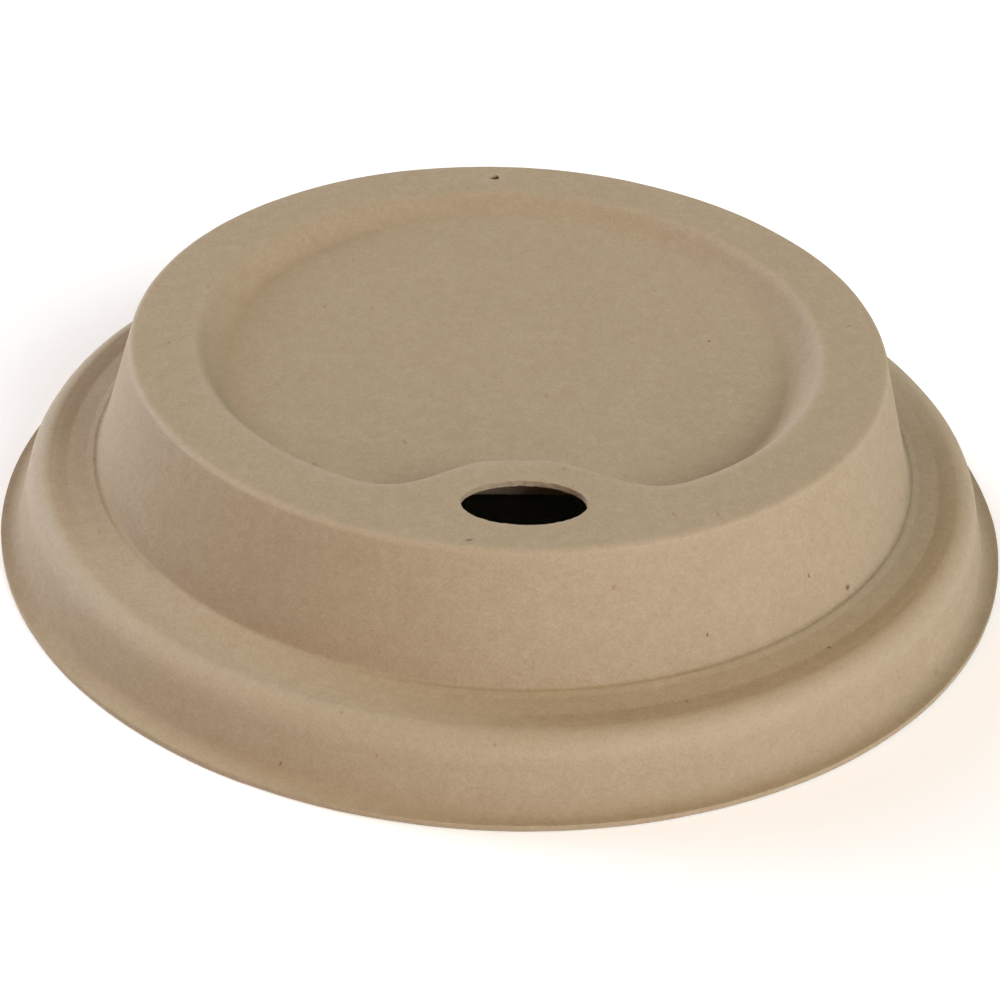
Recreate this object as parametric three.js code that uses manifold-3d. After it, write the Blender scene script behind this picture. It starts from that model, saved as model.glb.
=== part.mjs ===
import * as THREE from 'three';
import Module from 'manifold-3d';
import { mergeVertices } from 'three/addons/utils/BufferGeometryUtils.js';

// A moulded pulp lid for a takeaway coffee cup, in millimetres.
// +Z is up and the sip hole is towards -Y. The origin is the centre of the rim's bottom plane.

// The pulp
const wallThickness = 0.7;
const pulpColour = 0xa8977b;
const pulpRoughness = 0.9;

// The rim's flat lip, and the skirt that grips the cup. Drafts and slopes are in degrees.
const rimRadius = 48;
const lipWidth = 1.65;
const skirtHeight = 7.15;
const skirtDraft = 13.4;
const skirtFootFillet = 1.4;
const shoulderFillet = 2.4;

// The sloping shelf between skirt and dome, with its fine groove
const outerShelfWidth = 3.4;
const innerShelfWidth = 2.9;
const shelfSlope = 10;
const grooveDepth = 0.1;
const grooveWidth = 1;

// The dome
const lidHeight = 19.85;
const domeDraft = 15.7;
const domeFootFillet = 1.6;
const topEdgeFillet = 0.8;

// The recess in the dome's top. Its floor tilts down towards the sip hole.
const recessRadius = 29.6;
const recessWallWidth = 3.6;
const recessDepthAtHole = 4.3;
const recessDepthOpposite = 1.25;

// How much further out the recess lies on the underside, so that its walls keep their thickness
const undersideSpread = 0.45;

// How much of the recess wall's width its rounded crest takes. The rounded foot takes the rest.
const crestShare = 0.39;

// The tongue of the top land that runs into the recess around the sip hole, on a wide shallow root
const tongueReach = 6.9;
const tongueHalfAngle = 19.3;
const tongueSharpness = 3.5;
const rootReach = 1.4;
const rootHalfAngle = 50;
const rootSharpness = 2;
const tongueWallWidth = 1.8;

// The sip hole, and the vent opposite
const sipHoleRadius = 27.9;
const sipHoleLength = 10.95;
const sipHoleWidth = 6.9;
const ventRadius = 32.5;
const ventDiameter = 1;

// How finely the curves are divided. Crowding brings the turn's steps closer at the sip hole.
const turnSteps = 72;
const turnCrowding = 0.45;
const filletSteps = 3;
const floorSteps = 3;
const recessWallSteps = 7;
const landSteps = 3;
const sipHoleSteps = 24;
const ventSteps = 12;

const radians = THREE.MathUtils.degToRad;
const lerp = THREE.MathUtils.lerp;

// The corners of the outer surface, worked out from the lip inwards and up
const skirtFootRadius = rimRadius - lipWidth;
const shoulderRadius = skirtFootRadius - (skirtHeight - wallThickness) * Math.tan(radians(skirtDraft));
const grooveRadius = shoulderRadius - outerShelfWidth;
const domeFootRadius = grooveRadius - innerShelfWidth;
const domeFootHeight = shelfHeight(domeFootRadius);
const domeTopRadius = domeFootRadius - (lidHeight - domeFootHeight) * Math.tan(radians(domeDraft));

function shelfHeight(radius) {
  return skirtHeight + (shoulderRadius - radius) * Math.tan(radians(shelfSlope));
}

// Rounds a corner of the profile with an arc that touches the lines to its two neighbours
function filletCorner(before, corner, after, filletRadius) {
  const toBefore = before.clone().sub(corner).normalize();
  const toAfter = after.clone().sub(corner).normalize();
  const halfAngle = Math.acos(toBefore.dot(toAfter)) / 2;
  const towardsCentre = toBefore.clone().add(toAfter).normalize();
  const centre = corner.clone().addScaledVector(towardsCentre, filletRadius / Math.sin(halfAngle));
  const start = corner.clone().addScaledVector(toBefore, filletRadius / Math.tan(halfAngle));
  const sweep = Math.sign(toAfter.cross(toBefore)) * (Math.PI - 2 * halfAngle);
  const arc = [];
  for (let step = 0; step <= filletSteps; step++) {
    arc.push(start.clone().rotateAround(centre, (sweep * step) / filletSteps));
  }
  return arc;
}

// The outer surface from the top edge out to the lip's edge, as points of radius and height
function sideProfile() {
  const axisTop = new THREE.Vector2(0, lidHeight);
  const topEdge = new THREE.Vector2(domeTopRadius, lidHeight);
  const domeFoot = new THREE.Vector2(domeFootRadius, domeFootHeight);
  const shoulder = new THREE.Vector2(shoulderRadius, skirtHeight);
  const skirtFoot = new THREE.Vector2(skirtFootRadius, wallThickness);
  const lipEdge = new THREE.Vector2(rimRadius, wallThickness);
  const grooveSide = (radius) => new THREE.Vector2(radius, shelfHeight(radius));
  return [
    ...filletCorner(axisTop, topEdge, domeFoot, topEdgeFillet),
    ...filletCorner(topEdge, domeFoot, shoulder, domeFootFillet),
    grooveSide(grooveRadius - grooveWidth / 2),
    new THREE.Vector2(grooveRadius, shelfHeight(grooveRadius) - grooveDepth),
    grooveSide(grooveRadius + grooveWidth / 2),
    ...filletCorner(domeFoot, shoulder, skirtFoot, shoulderFillet),
    ...filletCorner(shoulder, skirtFoot, lipEdge, skirtFootFillet),
    lipEdge,
  ];
}

// The same line moved in by the wall's thickness, square to the surface
function undersideOf(profile) {
  const normals = profile.slice(1).map((point, index) => {
    const along = point.clone().sub(profile[index]).normalize();
    return new THREE.Vector2(along.y, -along.x);
  });
  return profile.map((point, index) => {
    const before = normals[Math.max(index - 1, 0)];
    const after = normals[Math.min(index, normals.length - 1)];
    const mitre = before.clone().add(after).normalize();
    return point.clone().addScaledVector(mitre, wallThickness / mitre.dot(before));
  });
}

// Circles that the top panel is built on before it is shaped: floor, recess wall, then land
function panelRadii(landEnd) {
  const footRadius = recessRadius - recessWallWidth;
  const radii = [];
  for (let step = 0; step < floorSteps; step++) {
    radii.push((footRadius * step) / floorSteps);
  }
  for (let step = 0; step <= recessWallSteps; step++) {
    radii.push(footRadius + (recessWallWidth * step) / recessWallSteps);
  }
  for (let step = 1; step < landSteps; step++) {
    radii.push(lerp(recessRadius, landEnd, step / landSteps));
  }
  return radii;
}

// A bell of height 1 about the sip hole's axis
function bell(angle, halfAngle, sharpness) {
  return Math.exp(-(Math.abs(angle / radians(halfAngle)) ** sharpness));
}

// The recess's edge, as a radius at an angle from the sip hole's axis
function recessEdge(angle) {
  const root = rootReach * bell(angle, rootHalfAngle, rootSharpness);
  const tongue = tongueReach * bell(angle, tongueHalfAngle, tongueSharpness);
  return recessRadius - root - tongue;
}

// The recess wall's width along the radius, where the edge may run askew to the radius
function recessWallSpan(angle) {
  const nudge = 0.001;
  const edgeRun = (recessEdge(angle + nudge) - recessEdge(angle - nudge)) / (2 * nudge);
  const askew = Math.hypot(1, edgeRun / recessEdge(angle));
  const width = lerp(recessWallWidth, tongueWallWidth, bell(angle, tongueHalfAngle, tongueSharpness));
  return width * askew;
}

// Moves a circle's radius to where the shaped panel has it at this angle, with its recess spread
function shapedRadius(radius, angle, landEnd, spread) {
  const edge = recessEdge(angle) + spread;
  const span = recessWallSpan(angle);
  const footRadius = recessRadius - recessWallWidth;
  if (radius < footRadius) {
    return ((edge - span) * radius) / footRadius;
  }
  if (radius < recessRadius) {
    return edge - (span * (recessRadius - radius)) / recessWallWidth;
  }
  if (radius < landEnd) {
    return lerp(edge, landEnd, (radius - recessRadius) / (landEnd - recessRadius));
  }
  return radius;
}

// How far the floor lies under the land at a place along Y
function recessDepth(y) {
  return lerp(recessDepthOpposite, recessDepthAtHole, (recessRadius - y) / (2 * recessRadius));
}

// How far the recess wall has fallen, as a share of the depth, at a share of its width from the crest
function wallFall(share) {
  if (share < crestShare) {
    return share ** 2 / crestShare;
  }
  return 1 - (1 - share) ** 2 / (1 - crestShare);
}

// The lid without its holes: a turned shell whose top panel is then shaped
function lidShell() {
  const side = sideProfile();
  const underside = undersideOf(side);
  const landEnd = underside[0].x;
  const radii = panelRadii(landEnd);
  const topPanel = radii.map((radius) => new THREE.Vector2(radius, lidHeight));
  const panelUnderside = radii.map((radius) => new THREE.Vector2(radius, lidHeight - wallThickness));
  const profile = [...topPanel, ...side, ...underside.reverse(), ...panelUnderside.reverse()];
  const shell = new THREE.LatheGeometry(profile.reverse(), turnSteps).rotateX(Math.PI / 2);
  const place = shell.attributes.position;
  for (let index = 0; index < place.count; index++) {
    const radius = Math.hypot(place.getX(index), place.getY(index));
    const turn = Math.atan2(place.getX(index), -place.getY(index));
    const angle = turn - turnCrowding * Math.sin(turn);
    const isUnderside = place.getZ(index) < lidHeight - wallThickness / 2;
    const shaped = shapedRadius(radius, angle, landEnd, isUnderside ? undersideSpread : 0);
    const x = shaped * Math.sin(angle);
    const y = -shaped * Math.cos(angle);
    const fromCrest = THREE.MathUtils.clamp((recessRadius - radius) / recessWallWidth, 0, 1);
    place.setXYZ(index, x, y, place.getZ(index) - wallFall(fromCrest) * recessDepth(y));
  }
  return shell;
}

// The plugs that cut the holes reach from above the land to well under the recess floor
const plugHeight = 4 * (recessDepthAtHole + wallThickness);

function sipHolePlug() {
  const outline = new THREE.Shape().absellipse(0, -sipHoleRadius, sipHoleLength / 2, sipHoleWidth / 2);
  const options = { depth: plugHeight, bevelEnabled: false, curveSegments: sipHoleSteps };
  return new THREE.ExtrudeGeometry(outline, options).translate(0, 0, lidHeight - plugHeight / 2);
}

function ventPlug() {
  const plug = new THREE.CylinderGeometry(ventDiameter / 2, ventDiameter / 2, plugHeight, ventSteps);
  return plug.rotateX(Math.PI / 2).translate(0, ventRadius, lidHeight);
}

// Booleans
const wasm = await Module();
wasm.setup();

function toSolid(geometry) {
  geometry.deleteAttribute('normal');
  geometry.deleteAttribute('uv');
  const merged = mergeVertices(geometry);
  const vertProperties = Float32Array.from(merged.attributes.position.array);
  const triVerts = Uint32Array.from(merged.index.array);
  return new wasm.Manifold(new wasm.Mesh({ numProp: 3, vertProperties, triVerts }));
}

function toGeometry(solid) {
  const { vertProperties, triVerts } = solid.getMesh();
  const geometry = new THREE.BufferGeometry();
  geometry.setAttribute('position', new THREE.BufferAttribute(vertProperties, 3));
  geometry.setIndex(new THREE.BufferAttribute(triVerts, 1));
  geometry.computeVertexNormals();
  return geometry;
}

const lidSolid = toSolid(lidShell()).subtract(toSolid(sipHolePlug())).subtract(toSolid(ventPlug()));
const pulp = new THREE.MeshStandardMaterial({ color: pulpColour, roughness: pulpRoughness, metalness: 0 });
const lid = new THREE.Mesh(toGeometry(lidSolid), pulp);
lid.name = 'lid';

const group = new THREE.Group();
group.add(lid);

export default group;
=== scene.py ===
import math

import bmesh
import bpy
import numpy as np
from mathutils import Matrix, Vector, noise


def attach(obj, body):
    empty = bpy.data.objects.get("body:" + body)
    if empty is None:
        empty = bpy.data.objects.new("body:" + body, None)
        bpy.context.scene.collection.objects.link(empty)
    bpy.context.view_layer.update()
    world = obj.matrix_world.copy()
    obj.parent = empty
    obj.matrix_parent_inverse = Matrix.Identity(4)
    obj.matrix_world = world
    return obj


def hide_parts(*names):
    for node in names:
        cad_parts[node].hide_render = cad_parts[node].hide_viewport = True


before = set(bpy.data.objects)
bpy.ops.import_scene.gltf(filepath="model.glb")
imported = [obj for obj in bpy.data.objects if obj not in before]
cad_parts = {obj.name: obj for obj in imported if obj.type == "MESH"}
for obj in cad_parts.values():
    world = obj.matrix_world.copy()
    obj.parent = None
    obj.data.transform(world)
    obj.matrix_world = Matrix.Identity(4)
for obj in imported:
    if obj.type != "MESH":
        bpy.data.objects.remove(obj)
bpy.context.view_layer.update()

# The lid is drawn in millimetres, in the frame's own axes, and made into metres at the end.
MM = 0.001

# The pulp shell. Drafts and slopes are in degrees. The rim lies a touch inside the solid's.
WALL = 0.7
RIM_RADIUS = 47.97
LIP_WIDTH = 1.62
LIP_ROUNDING = 0.16
SKIRT_HEIGHT = 7.15
SKIRT_DRAFT = 13.4
SKIRT_FOOT_FILLET = 1.4
SHOULDER_FILLET = 2.4
LID_HEIGHT = 19.85
DOME_TOP = 35.255
TOP_EDGE_FILLET = 0.8

# The shelf, in two parts with a groove between them. The groove's outer side falls over GROOVE_FALL.
OUTER_SHELF = 3.4
INNER_SHELF = 2.95
OUTER_SLOPE = 6
INNER_SLOPE = 12
GROOVE_DEPTH = 0.15
GROOVE_FALL = 1.1
GROOVE_FILLET = 1.5
GROOVE_RIM_FILLET = 6.0

# The fine bead where the dome meets the shelf
BEAD_HEIGHT = 0.12
BEAD_OUT = 0.5
BEAD_WIDTH = 1.1
BEAD_FOOT_FILLET = 0.4
BEAD_FILLET = 0.8

# The recess, its tongue on a wide shallow root, and the two holes. The recess wall's rounded crest
# takes CREST_SHARE of its width, and its rounded foot takes the rest.
RECESS_RADIUS = 29.6
RECESS_WALL = 3.6
DEPTH_AT_HOLE = 4.3
DEPTH_OPPOSITE = 1.25
CREST_SHARE = 0.39
TONGUE_REACH = 6.9
TONGUE_HALF_ANGLE = 19.3
TONGUE_SHARPNESS = 3.5
TONGUE_WALL = 1.8
ROOT_REACH = 1.4
ROOT_HALF_ANGLE = 50
ROOT_SHARPNESS = 2
SIP_RADIUS = 27.9
SIP_LENGTH = 10.95
SIP_WIDTH = 6.9
VENT_RADIUS = 32.5
VENT_DIAMETER = 1.0

# The outer skin, then the underside: how far each lies under the outer face, and how much further
# out its recess lies
SKINS = ((0, 0), (WALL, 0.45))

# How uneven the moulded faces are, in millimetres
WAVE = 0.09
WAVE_SIZE = 9.0
DIMPLE = 0.035
DIMPLE_SIZE = 2.2

# How ragged the cut edges are, in millimetres. Fibres stand proud only where the noise runs high.
TEAR = 0.11
TEAR_SIZE = 0.5
TEAR_STEEPNESS = 2
TEAR_START = 0.8

# How often the surface is smoothed to find its edges and hollows, and how far it then lies off them
SMOOTHINGS = 12
FULL_RELIEF = 0.2

# How finely the mesh is divided. Crowding brings the turn's steps closer together at the sip hole.
# The spacing down the side, in millimetres, is the outer skin's and then the underside's.
TURN_STEPS = 400
CROWDING = 0.3
FILLET_STEPS = 6
LINE_SPACING = (0.8, 1.6)
FLOOR_ROWS = 16
WALL_ROWS = 13
LAND_ROWS = 12
PANEL_ROWS = FLOOR_ROWS + WALL_ROWS + LAND_ROWS - 1

# The sip hole's meshing, then the vent's: rings that lead to its edge, and rows down its cut wall
HOLE_RINGS = (8, 3)
CUT_ROWS = (5, 2)
RING_EASING = 1.3

# How many rows and columns a hole's block of the mesh goes past the hole
HOLE_MARGIN = 2

# The camera, fitted to the photo
FRAME_PIXELS = 1000
FOCAL_PIXELS = 2956.6
SENSOR_MM = 36
CLIP_START = 0.01
CLIP_END = 20
CAMERA_DISTANCE = 0.2868
CAMERA_AZIMUTH = -4.0
CAMERA_ELEVATION = 33.66
CAMERA_ROLL = 2.604
PRINCIPAL_POINT = (501.265, 513.895)

# The floor is lifted to white round the lid, from a radius in metres, so that its shadow stays.
FLOOR_SIZE = 6
FLOOR_COLOUR = (0.9, 0.9, 0.9, 1)
FLOOR_LIFT = 0.33
FLOOR_LIFT_FROM = 0.0475
WHITE = (1, 1, 1, 1)

# Soft lamps: name, azimuth counted from +X towards +Y, elevation, and strength in red, green and blue
SUN_SOFTNESS = 30
SUNS = (
    ("cool_low", 150, 12, (1.5, 1.54, 1.83)),
    ("cool_high", 135, 35, (1.0, 1.3, 1.64)),
    ("warm_low", 300, 12, (1.15, 0.74, 0.84)),
    ("warm_high", 315, 35, (1.88, 2.16, 2.13)),
    ("top", 180, 62, (0.75, 0.36, 0.03)),
)

# The pulp's colours, linear
PULP = (0.392, 0.31, 0.198, 1)
PULP_PALE = (0.47, 0.385, 0.262, 1)
PULP_DEEP = (0.325, 0.245, 0.145, 1)
PULP_RED = (0.3, 0.16, 0.075, 1)
PULP_FLECK = (0.075, 0.045, 0.025, 1)

# The pulp's noise layers: stretch, scale per millimetre, detail and distortion
LAYERS = {
    "clouds": (None, 0.11, 3.0, 0.0),
    "blotches": (None, 0.75, 4.0, 0.6),
    "felt": (None, 2.6, 3.0, 1.4),
    "grain": (None, 6.5, 2.0, 0.4),
    "wisps": ((0.5, 2.3, 1.2), 1.1, 2.0, 2.2),
    "strands": ((2.4, 0.5, 1.3), 1.2, 2.0, 2.0),
}

# The tints that the layers lay on, in order: the noise from and to, the tint's share at both, the tint
TINTS = (
    ("clouds", (0.3, 0.7, 0.0, 0.3), PULP_DEEP),
    ("blotches", (0.35, 0.7, 0.0, 0.4), PULP_PALE),
    ("felt", (0.3, 0.62, 0.55, 0.0), PULP_DEEP),
    ("grain", (0.4, 0.75, 0.0, 0.45), PULP_PALE),
    ("wisps", (0.58, 0.72, 0.0, 0.22), PULP_PALE),
    ("strands", (0.58, 0.72, 0.0, 0.2), PULP_DEEP),
)

# How strongly worn edges pale, partly as wear and partly as a painted highlight, and how strongly hollows
# darken as painted shade
WEAR_AND_HIGHLIGHT_TINT = 0.5
HOLLOW_SHADE_TINT = 0.25

# Wear and the painted edge highlight show as short ticks that run out from the lid's axis: their noise,
# and how much of them it lets show
TICK_TURN = (40, 40, 0)
TICK_STRETCH = (0.5, 0.5, 1.2)
TICK_NOISE = (3.6, 2.0, 0.3)
TICK_WEAR_AND_HIGHLIGHT = (0.35, 0.65, 0.45, 1.0)

# Sparse marks: colour, strength, cell size, stretch, mark size, and the share of cells that hold one
MARKS = (
    (PULP_RED, 0.5, 3.2, (1.0, 0.45, 0.8), 0.22, 0.6),
    (PULP_FLECK, 0.65, 4.5, (1.0, 1.0, 0.7), 0.22, 0.8),
    (PULP_FLECK, 0.7, 8.0, (0.5, 1.2, 0.6), 0.3, 0.6),
)

# The share of a mark's size that has its full strength, and how far each kind is moved from the last
MARK_CORE = 0.45
MARK_SHIFT = (7.1, 3.3, 5.7)

# How marks are bent out of round: by how many millimetres, and by noise of which scale and detail
MARK_BEND = 0.7
MARK_BEND_NOISE = (1.3, 2.0)

# How proud the felted fibres stand, in metres, and each pattern's share of it
PULP_RELIEF = 0.00006
RELIEF_SHARES = {"felt": 0.5, "grain": 0.22, "blotches": 0.5, "wisps": 0.3, "strands": 0.3}
TICK_RELIEF = 0.35

# Roughness falls as the felt's noise rises, and wear takes some more off.
FELT_ROUGHNESS = (0.3, 0.7, 0.92, 0.72)
WORN_POLISH = 0.15
SPECULAR = 0.35


def make_camera():
    data = bpy.data.cameras.new("camera")
    camera = bpy.data.objects.new("camera", data)
    bpy.context.collection.objects.link(camera)
    data.sensor_width = SENSOR_MM
    data.lens = FOCAL_PIXELS / FRAME_PIXELS * SENSOR_MM
    data.shift_x = (FRAME_PIXELS / 2 - PRINCIPAL_POINT[0]) / FRAME_PIXELS
    data.shift_y = (PRINCIPAL_POINT[1] - FRAME_PIXELS / 2) / FRAME_PIXELS
    data.clip_start = CLIP_START
    data.clip_end = CLIP_END
    turn = math.radians(CAMERA_AZIMUTH)
    rise = math.radians(CAMERA_ELEVATION)
    back = Vector((math.sin(turn) * math.cos(rise), -math.cos(turn) * math.cos(rise), math.sin(rise)))
    camera.location = back * CAMERA_DISTANCE
    facing = (-back).to_track_quat("-Z", "Y").to_matrix()
    camera.rotation_euler = (facing @ Matrix.Rotation(math.radians(CAMERA_ROLL), 3, "Z")).to_euler()
    bpy.context.scene.camera = camera


# The corners of the outer surface, from the lip inwards and up
SKIRT_FOOT = RIM_RADIUS - LIP_WIDTH
SHOULDER = SKIRT_FOOT - (SKIRT_HEIGHT - WALL) * math.tan(math.radians(SKIRT_DRAFT))
GROOVE = SHOULDER - OUTER_SHELF
DOME_FOOT = GROOVE - INNER_SHELF


def shelf_height(radius):
    """The shelf rises inwards from the shoulder, drops into the groove and rises again to the dome."""
    if radius > GROOVE:
        return SKIRT_HEIGHT + (SHOULDER - radius) * math.tan(math.radians(OUTER_SLOPE))
    bottom = SKIRT_HEIGHT + OUTER_SHELF * math.tan(math.radians(OUTER_SLOPE)) - GROOVE_DEPTH
    return bottom + (GROOVE - radius) * math.tan(math.radians(INNER_SLOPE))


def fillet(before, corner, after, radius):
    """An arc that rounds a corner and touches the lines to its two neighbours."""
    before, corner, after = (np.array(p, float) for p in (before, corner, after))
    to_before = (before - corner) / np.linalg.norm(before - corner)
    to_after = (after - corner) / np.linalg.norm(after - corner)
    half = math.acos(to_before @ to_after) / 2
    middle = to_before + to_after
    centre = corner + middle / np.linalg.norm(middle) * radius / math.sin(half)
    start = corner + to_before * radius / math.tan(half) - centre
    turn = np.sign(to_after[0] * to_before[1] - to_after[1] * to_before[0]) * (math.pi - 2 * half)
    arc = []
    for step in range(FILLET_STEPS + 1):
        angle = turn * step / FILLET_STEPS
        spin = np.array([[math.cos(angle), -math.sin(angle)], [math.sin(angle), math.cos(angle)]])
        arc.append(centre + spin @ start)
    return arc


def side_profile():
    """The outer surface from the top edge out to the lip's edge, as radius and height."""
    top_edge = (DOME_TOP, LID_HEIGHT)
    dome_foot = (DOME_FOOT, shelf_height(DOME_FOOT))
    shoulder = (SHOULDER, SKIRT_HEIGHT)
    skirt_foot = (SKIRT_FOOT, WALL)
    lip_edge = (RIM_RADIUS, WALL)
    bead = (DOME_FOOT + BEAD_OUT, shelf_height(DOME_FOOT + BEAD_OUT) + BEAD_HEIGHT)
    bead_end = (DOME_FOOT + BEAD_WIDTH, shelf_height(DOME_FOOT + BEAD_WIDTH))
    groove = (GROOVE, shelf_height(GROOVE))
    groove_rim = (GROOVE + GROOVE_FALL, shelf_height(GROOVE + GROOVE_FALL))
    return np.array([
        *fillet((0, LID_HEIGHT), top_edge, dome_foot, TOP_EDGE_FILLET),
        *fillet(top_edge, dome_foot, bead, BEAD_FOOT_FILLET),
        *fillet(dome_foot, bead, bead_end, BEAD_FILLET),
        *fillet(bead, bead_end, groove, BEAD_FILLET),
        *fillet(bead_end, groove, groove_rim, GROOVE_FILLET),
        *fillet(groove, groove_rim, shoulder, GROOVE_RIM_FILLET),
        *fillet(dome_foot, shoulder, skirt_foot, SHOULDER_FILLET),
        *fillet(shoulder, skirt_foot, lip_edge, SKIRT_FOOT_FILLET),
        np.array(lip_edge),
    ])


def underside_of(line):
    """The line moved in by the wall's thickness, square to the surface."""
    along = np.diff(line, axis=0)
    along /= np.linalg.norm(along, axis=1)[:, None]
    normal = np.stack([along[:, 1], -along[:, 0]], 1)
    before = np.vstack([normal[:1], normal])
    after = np.vstack([normal, normal[-1:]])
    mitre = before + after
    mitre /= np.linalg.norm(mitre, axis=1)[:, None]
    return line + mitre * (WALL / (mitre * before).sum(1))[:, None]


def subdivided(points, spacing):
    """The same line with more points on its long stretches."""
    out = [points[0]]
    for a, b in zip(points, points[1:]):
        steps = max(1, round(np.linalg.norm(b - a) / spacing))
        out += [a + (b - a) * k / steps for k in range(1, steps + 1)]
    return np.array(out)


def side_lines():
    """Each skin's line from the dome's top edge out to the middle of the lip's rounded edge."""
    top = side_profile()
    under = underside_of(top)
    return [
        subdivided(np.vstack([line[:-1], *fillet(line[-2], line[-1], across[-1], LIP_ROUNDING)]), spacing)
        for line, across, spacing in zip((top, under), (under, top), LINE_SPACING)
    ]


def bell(angle, half_angle, sharpness):
    """A bell of height 1 about the sip hole's axis."""
    return np.exp(-np.abs(angle / math.radians(half_angle)) ** sharpness)


def recess_edge(angle):
    """The recess's edge, as a radius at an angle from the sip hole's axis."""
    root = ROOT_REACH * bell(angle, ROOT_HALF_ANGLE, ROOT_SHARPNESS)
    tongue = TONGUE_REACH * bell(angle, TONGUE_HALF_ANGLE, TONGUE_SHARPNESS)
    return RECESS_RADIUS - root - tongue


def recess_span(angle):
    """The recess wall's width along the radius, where the edge may run askew to it."""
    nudge = 0.001
    run = (recess_edge(angle + nudge) - recess_edge(angle - nudge)) / (2 * nudge)
    width = RECESS_WALL + (TONGUE_WALL - RECESS_WALL) * bell(angle, TONGUE_HALF_ANGLE, TONGUE_SHARPNESS)
    return width * np.hypot(1, run / recess_edge(angle))


def wall_fall(share):
    """The recess wall's fall from 0 to 1: a rounded crest that runs into a longer rounded foot."""
    crest = share ** 2 / CREST_SHARE
    foot = 1 - (1 - share) ** 2 / (1 - CREST_SHARE)
    return np.where(share < CREST_SHARE, crest, foot)


def panel_height(x, y, skin):
    """The height of a skin's top panel at a place."""
    under, spread = skin
    angle = np.arctan2(x, -y)
    share = np.clip((recess_edge(angle) + spread - np.hypot(x, y)) / recess_span(angle), 0, 1)
    towards_hole = (RECESS_RADIUS - y) / (2 * RECESS_RADIUS)
    depth = DEPTH_OPPOSITE + (DEPTH_AT_HOLE - DEPTH_OPPOSITE) * towards_hole
    return LID_HEIGHT - under - depth * wall_fall(share)


def panel_rows():
    """The circles of the top panel, as shares of the floor, the recess wall and the land."""
    floor = [("floor", k / FLOOR_ROWS) for k in range(1, FLOOR_ROWS)]
    wall = [("wall", k / WALL_ROWS) for k in range(WALL_ROWS + 1)]
    land = [("land", k / LAND_ROWS) for k in range(1, LAND_ROWS)]
    return floor + wall + land


def panel_radius(kind, share, angle, land_end, skin):
    """A panel circle's radius at an angle, once the recess has shaped it."""
    edge = recess_edge(angle) + skin[1]
    span = recess_span(angle)
    if kind == "floor":
        return (edge - span) * share
    if kind == "wall":
        return edge - span * (1 - share)
    return edge + (land_end - edge) * share


def unevenness(places, scale):
    """Smooth noise from 0 to 1, one value a place, at a scale in millimetres."""
    return np.array([0.5 + 0.5 * noise.noise(Vector(p) / scale) for p in places])


def ragged(places):
    """How far torn fibres stand proud at each place, in millimetres."""
    return TEAR * np.clip(TEAR_STEEPNESS * unevenness(places, TEAR_SIZE) - TEAR_START, 0, 1)


class Mesh:
    """Vertices and faces as they are gathered, in millimetres."""

    def __init__(self):
        self.places = []
        self.faces = []

    def row(self, places):
        """Adds a row of vertices and returns their numbers."""
        first = len(self.places)
        self.places += [tuple(p) for p in places]
        return list(range(first, first + len(places)))

    def join(self, a, b):
        """Adds the faces between two closed rows of equally many vertices."""
        count = len(a)
        for k in range(count):
            n = (k + 1) % count
            self.faces.append((a[k], a[n], b[n], b[k]))


def turn_angles():
    """The turn's steps, counted from the sip hole's axis and closer together there."""
    turn = np.arange(TURN_STEPS) / TURN_STEPS * 2 * math.pi - math.pi
    return turn - CROWDING * np.sin(turn)


def skin_grid(mesh, angles, line, land_end, skin):
    """The rows of one skin, from round the panel's middle out to the lip."""
    grid = []
    for kind, share in panel_rows():
        radius = panel_radius(kind, share, angles, land_end, skin)
        x, y = radius * np.sin(angles), -radius * np.cos(angles)
        grid.append(mesh.row(np.column_stack([x, y, panel_height(x, y, skin)])))
    for radius, height in line:
        x, y = radius * np.sin(angles), -radius * np.cos(angles)
        grid.append(mesh.row(np.column_stack([x, y, np.full(TURN_STEPS, height)])))
    return grid


def rows_round(mesh, grid, column, radius, width):
    """The rows a little inside and outside a hole in the top panel, along one column."""
    radii = [math.hypot(*mesh.places[row[column]][:2]) for row in grid[:PANEL_ROWS]]
    low, high = np.searchsorted(radii, (radius - width / 2, radius + width / 2))
    return int(low) - HOLE_MARGIN, int(high) + HOLE_MARGIN - 1


def hole_blocks(mesh, grid, angles):
    """The block of the mesh that each hole takes: its first and last column, then row."""
    middle = TURN_STEPS // 2
    past_hole = np.searchsorted(angles[middle:], math.asin(SIP_LENGTH / 2 / SIP_RADIUS))
    half = int(past_hole) + HOLE_MARGIN
    sip_rows = rows_round(mesh, grid, middle, SIP_RADIUS, SIP_WIDTH)
    vent_rows = rows_round(mesh, grid, 0, VENT_RADIUS, VENT_DIAMETER)
    return (middle - half, middle + half, *sip_rows), (-HOLE_MARGIN, HOLE_MARGIN, *vent_rows)


def in_block(column, row, block):
    left, right, low, high = block
    return low <= row < high and (column - left) % TURN_STEPS < right - left


def fill_grid(mesh, grid, blocks):
    """The faces of one skin, but none in the holes' blocks."""
    for r in range(len(grid) - 1):
        for c in range(TURN_STEPS):
            if not any(in_block(c, r, block) for block in blocks):
                n = (c + 1) % TURN_STEPS
                mesh.faces.append((grid[r][c], grid[r + 1][c], grid[r + 1][n], grid[r][n]))


def close_middle(mesh, row, skin):
    """The fan of faces from the innermost row to the middle of a skin's panel."""
    middle = mesh.row([(0, 0, panel_height(0.0, 0.0, skin))])[0]
    for c in range(TURN_STEPS):
        mesh.faces.append((middle, row[c], row[(c + 1) % TURN_STEPS]))


def sip_outline(bearing):
    """The sip hole's torn edge: an ellipse by bearing from its centre, with fibres standing proud."""
    a, b = SIP_LENGTH / 2, SIP_WIDTH / 2
    s, c = np.sin(bearing), np.cos(bearing)
    reach = a * b / np.sqrt((b * s) ** 2 + (a * c) ** 2)
    reach = reach - ragged(np.stack([reach * s, reach * c, np.zeros_like(s)], 1))
    return np.stack([reach * s, -SIP_RADIUS - reach * c], 1)


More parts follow.
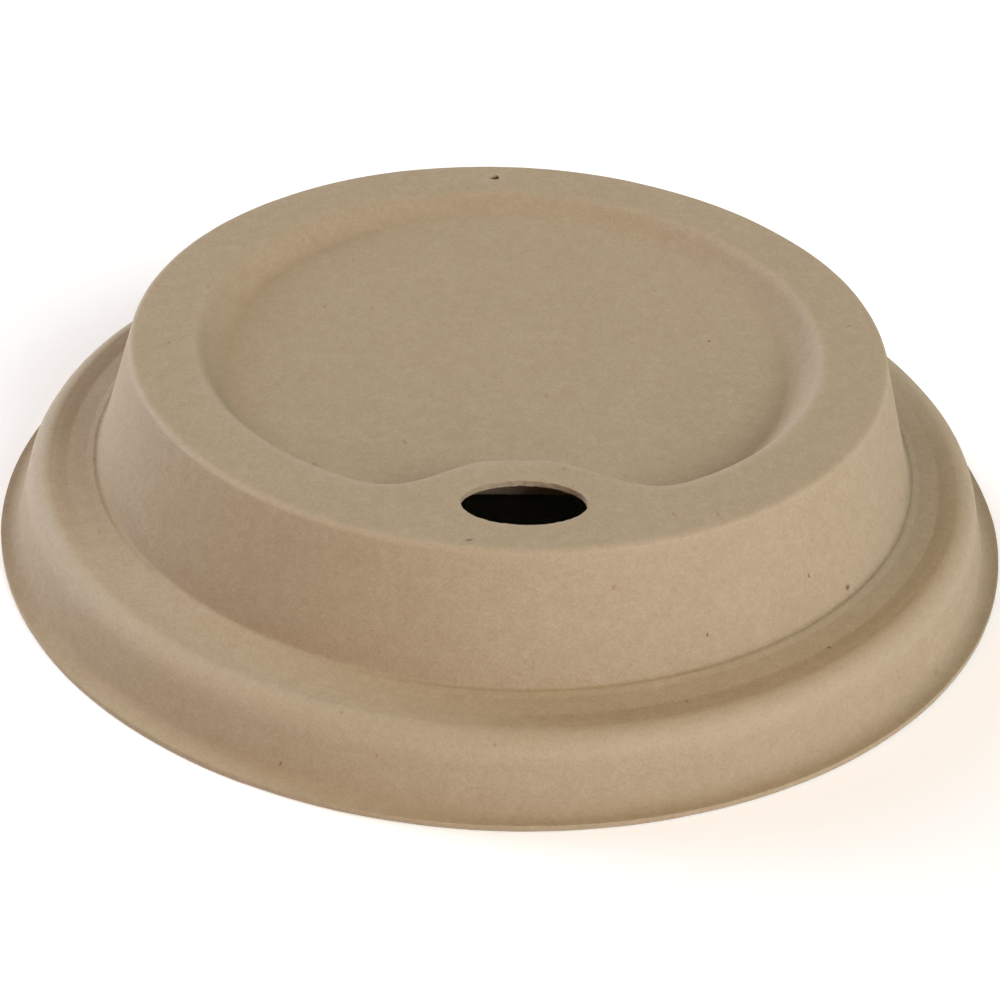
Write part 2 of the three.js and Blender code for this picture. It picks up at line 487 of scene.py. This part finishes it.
def vent_outline(bearing):
    """The vent's round edge, by bearing from its centre."""
    radius = VENT_DIAMETER / 2
    return np.stack([radius * np.sin(bearing), VENT_RADIUS - radius * np.cos(bearing)], 1)


def cut_hole(mesh, grid, block, outline, rings, skin):
    """Leads the border of a hole's block smoothly to its outline, and returns the hole's edge."""
    left, right, low, high = block
    border = [(high, c) for c in range(left, right)]
    border += [(r, right) for r in range(high, low, -1)]
    border += [(low, c) for c in range(right, left, -1)]
    border += [(r, left) for r in range(low, high)]
    last = [grid[r][c % TURN_STEPS] for r, c in border]
    around = np.array([mesh.places[i] for i in last])[:, :2]
    centre = outline(np.array([0.0, math.pi])).mean(0)
    bearing = np.arctan2(around[:, 0] - centre[0], -(around[:, 1] - centre[1]))
    edge = outline(bearing)
    for k in range(1, rings + 1):
        share = 1 - (1 - k / rings) ** RING_EASING
        x, y = (around + (edge - around) * share).T
        row = mesh.row(np.column_stack([x, y, panel_height(x, y, skin)]))
        mesh.join(last, row)
        last = row
    return last


def cut_wall(mesh, top_edge, under_edge, rows):
    """The cut through the shell between two closed edges, rough with torn fibres."""
    top, under = (np.array([mesh.places[i] for i in edge]) for edge in (top_edge, under_edge))
    inwards = top.mean(0) - top
    inwards /= np.linalg.norm(inwards, axis=1)[:, None]
    last = top_edge
    for k in range(1, rows):
        places = top + (under - top) * k / rows
        places += inwards * ragged(places)[:, None]
        row = mesh.row(places)
        mesh.join(last, row)
        last = row
    mesh.join(last, under_edge)


def build_lid():
    """The whole shell: both skins, the two holes' cut walls and the lip's edge."""
    mesh = Mesh()
    angles = turn_angles()
    lines = side_lines()
    land_end = lines[0][0][0]
    grids = [skin_grid(mesh, angles, line, land_end, skin) for line, skin in zip(lines, SKINS)]
    blocks = hole_blocks(mesh, grids[0], angles)
    edges = []
    for grid, skin in zip(grids, SKINS):
        fill_grid(mesh, grid, blocks)
        holes = zip(blocks, (sip_outline, vent_outline), HOLE_RINGS)
        edges.append([cut_hole(mesh, grid, *hole, skin) for hole in holes])
        close_middle(mesh, grid[0], skin)
    for top_edge, under_edge, rows in zip(*edges, CUT_ROWS):
        cut_wall(mesh, top_edge, under_edge, rows)
    mesh.join(grids[0][-1], grids[1][-1])
    return mesh


def to_object(mesh, name):
    """A smooth-shaded object in metres, with its faces settled."""
    data = bpy.data.meshes.new(name)
    data.from_pydata([tuple(np.array(p) * MM) for p in mesh.places], [], mesh.faces)
    data.validate()
    obj = bpy.data.objects.new(name, data)
    bpy.context.collection.objects.link(obj)
    shape = bmesh.new()
    shape.from_mesh(data)
    bmesh.ops.recalc_face_normals(shape, faces=shape.faces)
    shape.to_mesh(data)
    shape.free()
    for polygon in data.polygons:
        polygon.use_smooth = True
    settle(data)
    return obj


def smoothed(data, places):
    """The places after each vertex has moved to the middle of its neighbours a few times."""
    ends = np.empty(len(data.edges) * 2, int)
    data.edges.foreach_get("vertices", ends)
    a, b = ends.reshape(-1, 2).T
    count = len(places)
    neighbours = np.bincount(a, minlength=count) + np.bincount(b, minlength=count)
    for _ in range(SMOOTHINGS):
        sums = [
            np.bincount(a, places[b, axis], count) + np.bincount(b, places[a, axis], count)
            for axis in range(3)
        ]
        places = np.stack(sums, 1) / neighbours[:, None]
    return places


def settle(data):
    """Marks worn edges, for wear and a painted highlight, and hollows, for painted shade, then moves each
    vertex a little into the pulp, unevenly.
    """
    places = np.empty(len(data.vertices) * 3)
    data.vertices.foreach_get("co", places)
    places = places.reshape(-1, 3) / MM
    normals = np.empty(len(data.vertices) * 3)
    data.vertex_normals.foreach_get("vector", normals)
    normals = normals.reshape(-1, 3)
    relief = ((smoothed(data, places) - places) * normals).sum(1) / FULL_RELIEF
    # Convex edges are marked to pale, partly as wear and partly as a painted highlight; hollows are
    # marked to darken as painted shade.
    for name, share in (("wear_and_highlight", -relief), ("hollow_shade", relief)):
        data.attributes.new(name, "FLOAT", "POINT").data.foreach_set("value", np.clip(share, 0, 1) ** 2)
    dent = WAVE * unevenness(places, WAVE_SIZE) + DIMPLE * unevenness(places, DIMPLE_SIZE)
    settled = places - normals * dent[:, None]
    data.vertices.foreach_set("co", (settled * MM).ravel())
    data.update()


class Nodes:
    """Short names for adding shader nodes. All but add return the new node's output."""

    def __init__(self, tree):
        self.tree = tree

    def add(self, kind, settings=(), **inputs):
        """Adds a node. An underscore in an input's name stands for a space."""
        node = self.tree.nodes.new(kind)
        for key, value in dict(settings).items():
            setattr(node, key, value)
        for key, value in inputs.items():
            self.feed(node.inputs[key.replace("_", " ")], value)
        return node

    def feed(self, socket, value):
        """Links an output to a socket, or sets a plain value on it."""
        if isinstance(value, bpy.types.NodeSocket):
            self.tree.links.new(value, socket)
        else:
            socket.default_value = value

    def math(self, operation, a, b):
        node = self.add("ShaderNodeMath", {"operation": operation})
        self.feed(node.inputs[0], a)
        self.feed(node.inputs[1], b)
        return node.outputs[0]

    def vector(self, operation, *operands):
        node = self.add("ShaderNodeVectorMath", {"operation": operation})
        for socket, operand in zip(node.inputs, operands):
            self.feed(socket, operand)
        return node.outputs[0]

    def attribute(self, name):
        return self.add("ShaderNodeAttribute", {"attribute_name": name}).outputs["Fac"]

    def object_place(self):
        return self.add("ShaderNodeTexCoord").outputs["Object"]

    def noise(self, place, scale, detail, distortion):
        sizes = {"Scale": scale, "Detail": detail, "Distortion": distortion}
        return self.add("ShaderNodeTexNoise", Vector=place, **sizes).outputs["Fac"]

    def span(self, value, low, high, at_low, at_high):
        """A value mapped from low and high to at_low and at_high, and held there beyond them."""
        node = self.add("ShaderNodeMapRange")
        for key, entry in enumerate((value, low, high, at_low, at_high)):
            self.feed(node.inputs[key], entry)
        return node.outputs[0]

    def mix(self, share, a, b):
        """A share of the way from colour a to colour b."""
        node = self.add("ShaderNodeMix", {"data_type": "RGBA"})
        self.feed(node.inputs["Factor"], share)
        self.feed(node.inputs[6], a)
        self.feed(node.inputs[7], b)
        return node.outputs[2]


def noise_layers(nodes, place):
    """The pulp's noise layers, by name."""
    layers = {}
    for name, (stretch, scale, detail, distortion) in LAYERS.items():
        where = nodes.vector("MULTIPLY", place, stretch) if stretch else place
        layers[name] = nodes.noise(where, scale, detail, distortion)
    return layers


def wear_and_highlight_ticks(nodes, place, wear_and_highlight):
    """The wear and the painted edge highlight at each place, broken up into ticks."""
    outwards = nodes.vector("NORMALIZE", nodes.vector("MULTIPLY", place, (1, 1, 0)))
    spokes = nodes.vector("MULTIPLY", outwards, TICK_TURN)
    spokes = nodes.vector("ADD", spokes, nodes.vector("MULTIPLY", place, TICK_STRETCH))
    ticks = nodes.noise(spokes, *TICK_NOISE)
    return nodes.math("MULTIPLY", wear_and_highlight, nodes.span(ticks, *TICK_WEAR_AND_HIGHLIGHT))


def scattered(nodes, place, cell, stretch, size, share, seed):
    """Sparse small marks: one in some of the cells, about size across, drawn out along one axis."""
    bend_scale, bend_detail = MARK_BEND_NOISE
    bend = nodes.add("ShaderNodeTexNoise", Vector=place, Scale=bend_scale, Detail=bend_detail)
    bend = nodes.vector("SUBTRACT", bend.outputs["Color"], (0.5, 0.5, 0.5))
    bend = nodes.vector("MULTIPLY", bend, (MARK_BEND, MARK_BEND, MARK_BEND))
    moved = nodes.vector("ADD", nodes.vector("ADD", place, bend), [seed * step for step in MARK_SHIFT])
    stretched = nodes.vector("MULTIPLY", moved, stretch)
    cells = nodes.add("ShaderNodeTexVoronoi", Vector=stretched, Scale=1 / cell)
    near = nodes.span(cells.outputs["Distance"], size / cell * MARK_CORE, size / cell, 1.0, 0.0)
    chosen = nodes.add("ShaderNodeSeparateColor", Color=cells.outputs["Color"]).outputs["Red"]
    return nodes.math("MULTIPLY", near, nodes.math("LESS_THAN", chosen, share))


def pulp_colour(nodes, place, layers, ticks):
    """The tints of the layers, of wear with a painted edge highlight and of painted shade in hollows,
    then the sparse marks.
    """
    colour = PULP
    for name, share, tint in TINTS:
        colour = nodes.mix(nodes.span(layers[name], *share), colour, tint)
    # Worn edges pale towards PULP_PALE: partly wear, partly a painted highlight.
    colour = nodes.mix(nodes.math("MULTIPLY", ticks, WEAR_AND_HIGHLIGHT_TINT), colour, PULP_PALE)
    # Hollows darken towards PULP_DEEP as painted shade.
    hollow_shade = nodes.attribute("hollow_shade")
    colour = nodes.mix(nodes.math("MULTIPLY", hollow_shade, HOLLOW_SHADE_TINT), colour, PULP_DEEP)
    for seed, (tint, strength, *kind) in enumerate(MARKS, 1):
        marks = scattered(nodes, place, *kind, seed)
        colour = nodes.mix(nodes.math("MULTIPLY", marks, strength), colour, tint)
    return colour


def pulp_height(nodes, layers, ticks):
    """How proud the fibres and the worn ticks stand."""
    height = nodes.math("MULTIPLY", ticks, TICK_RELIEF)
    for name, share in RELIEF_SHARES.items():
        height = nodes.math("ADD", height, nodes.math("MULTIPLY", layers[name], share))
    return height


def pulp_material():
    """Unbleached moulded pulp: felted fibres, a soft mottle, pale and dark flecks and dulled edges, with
    a painted highlight on the edges and painted shade in the hollows.
    """
    material = bpy.data.materials.new("pulp")
    material.use_nodes = True
    nodes = Nodes(material.node_tree)
    shader = material.node_tree.nodes["Principled BSDF"]
    millimetres = nodes.vector("MULTIPLY", nodes.object_place(), [1 / MM] * 3)
    layers = noise_layers(nodes, millimetres)
    # The edge mark: wear and a painted highlight in the colour, polish in the roughness.
    wear_and_highlight = nodes.attribute("wear_and_highlight")
    ticks = wear_and_highlight_ticks(nodes, millimetres, wear_and_highlight)
    nodes.feed(shader.inputs["Base Color"], pulp_colour(nodes, millimetres, layers, ticks))
    rough = nodes.span(layers["felt"], *FELT_ROUGHNESS)
    rough = nodes.math("SUBTRACT", rough, nodes.math("MULTIPLY", wear_and_highlight, WORN_POLISH))
    nodes.feed(shader.inputs["Roughness"], rough)
    shader.inputs["Specular IOR Level"].default_value = SPECULAR
    height = pulp_height(nodes, layers, ticks)
    bump = nodes.add("ShaderNodeBump", Height=height, Strength=1.0, Distance=PULP_RELIEF)
    nodes.feed(shader.inputs["Normal"], bump.outputs["Normal"])
    return material


def seen_directly(nodes):
    """1 for rays from the camera and for those that a gloss or a clear body sends on, else 0."""
    path = nodes.add("ShaderNodeLightPath").outputs
    bounced = nodes.math("MAXIMUM", path["Is Glossy Ray"], path["Is Transmission Ray"])
    return nodes.math("MAXIMUM", path["Is Camera Ray"], bounced)


def make_floor():
    bpy.ops.mesh.primitive_plane_add(size=FLOOR_SIZE, location=(0, 0, 0))
    floor = bpy.context.object
    floor.name = "floor"
    material = bpy.data.materials.new("floor")
    material.use_nodes = True
    nodes = Nodes(material.node_tree)
    shader = material.node_tree.nodes["Principled BSDF"]
    shader.inputs["Base Color"].default_value = FLOOR_COLOUR
    shader.inputs["Emission Color"].default_value = WHITE
    from_axis = nodes.add("ShaderNodeVectorMath", {"operation": "LENGTH"}, Vector=nodes.object_place())
    outside = nodes.math("GREATER_THAN", from_axis.outputs["Value"], FLOOR_LIFT_FROM)
    lift = nodes.math("MULTIPLY", nodes.math("MULTIPLY", seen_directly(nodes), outside), FLOOR_LIFT)
    nodes.feed(shader.inputs["Emission Strength"], lift)
    floor.data.materials.append(material)


def make_lights():
    """A backdrop that is white to look at and in reflections but lights nothing else, and the lamps."""
    world = bpy.data.worlds.new("world")
    bpy.context.scene.world = world
    world.use_nodes = True
    sky = world.node_tree.nodes["Background"]
    sky.inputs["Color"].default_value = WHITE
    nodes = Nodes(world.node_tree)
    nodes.feed(sky.inputs["Strength"], seen_directly(nodes))
    for name, azimuth, elevation, colour in SUNS:
        data = bpy.data.lights.new(name, "SUN")
        data.energy = max(colour)
        data.color = [c / max(colour) for c in colour]
        data.angle = math.radians(SUN_SOFTNESS)
        lamp = bpy.data.objects.new(name, data)
        bpy.context.collection.objects.link(lamp)
        turn, rise = math.radians(azimuth), math.radians(elevation)
        level = math.cos(rise)
        towards = Vector((math.cos(turn) * level, math.sin(turn) * level, math.sin(rise)))
        lamp.rotation_euler = (-towards).to_track_quat("-Z", "Y").to_euler()


make_camera()
bpy.context.scene.view_settings.view_transform = "Standard"
lid = to_object(build_lid(), "pulp_lid")
lid.data.materials.append(pulp_material())
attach(lid, "root")
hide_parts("lid")
make_floor()
make_lights()
